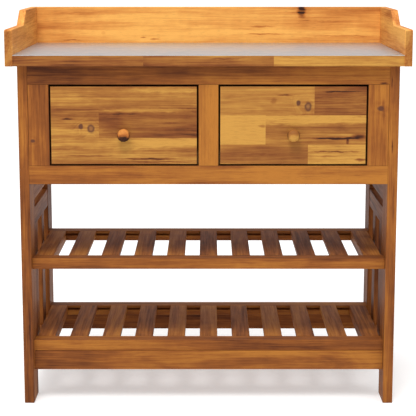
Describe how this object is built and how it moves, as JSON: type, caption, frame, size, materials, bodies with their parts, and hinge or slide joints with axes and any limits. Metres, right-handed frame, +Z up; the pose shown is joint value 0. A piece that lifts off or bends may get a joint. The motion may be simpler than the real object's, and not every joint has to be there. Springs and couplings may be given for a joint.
{
  "type": "potting bench",
  "caption": "Wooden garden potting bench with a metal-topped work surface, raised back and sides, drawers under it, and slatted shelves below.",
  "frame": {"origin": "on the floor, at the middle of the overall length and depth", "axes": "+X along the bench to the right seen from the front, -Y out of the drawer fronts, +Z up"},
  "size_m": [0.8, 0.4, 0.8],
  "materials": {
    "frame_wood": "oiled acacia, satin",
    "worktop_wood": "oiled acacia, satin",
    "shelf_wood": "oiled acacia, satin",
    "block_panel_wood": "glued acacia blocks, oiled",
    "knob_wood": "turned acacia, oiled",
    "drawer_box_wood": "planed acacia, unfinished",
    "galvanised_sheet": "hot-dip galvanised, dull",
    "zinc_fasteners": "bright zinc plate"
  },
  "bodies": {
    "bench": {"assembly_screws": "zinc_fasteners", "back_apron": "frame_wood", "back_board": "worktop_wood", "cheek_left": "worktop_wood", "cheek_right": "worktop_wood", "drawer_battens": "drawer_box_wood", "drawer_guide_centre": "drawer_box_wood", "drawer_guide_left": "drawer_box_wood", "drawer_guide_right": "drawer_box_wood", "drawer_runner_centre": "drawer_box_wood", "drawer_runner_left": "drawer_box_wood", "drawer_runner_right": "drawer_box_wood", "drawer_stop_left": "drawer_box_wood", "drawer_stop_right": "drawer_box_wood", "frame_bolts": "zinc_fasteners", "front_leg_left": "frame_wood", "front_leg_right": "frame_wood", "front_rail_bottom": "frame_wood", "front_rail_top": "frame_wood", "front_stile_centre": "frame_wood", "front_stile_left": "frame_wood", "front_stile_right": "frame_wood", "front_stretcher": "frame_wood", "lower_shelf_ends": "shelf_wood", "lower_shelf_front_rail": "shelf_wood", "lower_shelf_rear_rail": "shelf_wood", "lower_shelf_slats": "shelf_wood", "rear_leg_left": "frame_wood", "rear_leg_right": "frame_wood", "rear_stretcher": "frame_wood", "side_panel_left": "frame_wood", "side_panel_right": "frame_wood", "side_rails_left": "frame_wood", "side_rails_right": "frame_wood", "side_slats_left": "frame_wood", "side_slats_right": "frame_wood", "side_stretcher_left": "frame_wood", "side_stretcher_right": "frame_wood", "top_cleat_left": "frame_wood", "top_cleat_right": "frame_wood", "upper_shelf_ends": "shelf_wood", "upper_shelf_front_rail": "shelf_wood", "upper_shelf_rear_rail": "shelf_wood", "upper_shelf_slats": "shelf_wood", "worktop_board": "worktop_wood", "worktop_sheet": "galvanised_sheet"},
    "drawer_left": {"drawer_back_left": "drawer_box_wood", "drawer_bottom_left": "drawer_box_wood", "drawer_front_left": "block_panel_wood", "drawer_inner_side_left": "drawer_box_wood", "drawer_knob_left": "knob_wood", "drawer_knob_screw_left": "zinc_fasteners", "drawer_outer_side_left": "drawer_box_wood"},
    "drawer_right": {"drawer_back_right": "drawer_box_wood", "drawer_bottom_right": "drawer_box_wood", "drawer_front_right": "block_panel_wood", "drawer_inner_side_right": "drawer_box_wood", "drawer_knob_right": "knob_wood", "drawer_knob_screw_right": "zinc_fasteners", "drawer_outer_side_right": "drawer_box_wood"}
  },
  "joints": [
    {"name": "drawer_left_slide", "type": "slide", "parent": "bench", "child": "drawer_left", "axis": [0, -1, 0], "range_m": [0, 0.25]},
    {"name": "drawer_right_slide", "type": "slide", "parent": "bench", "child": "drawer_right", "axis": [0, -1, 0], "range_m": [0, 0.25]}
  ]
}
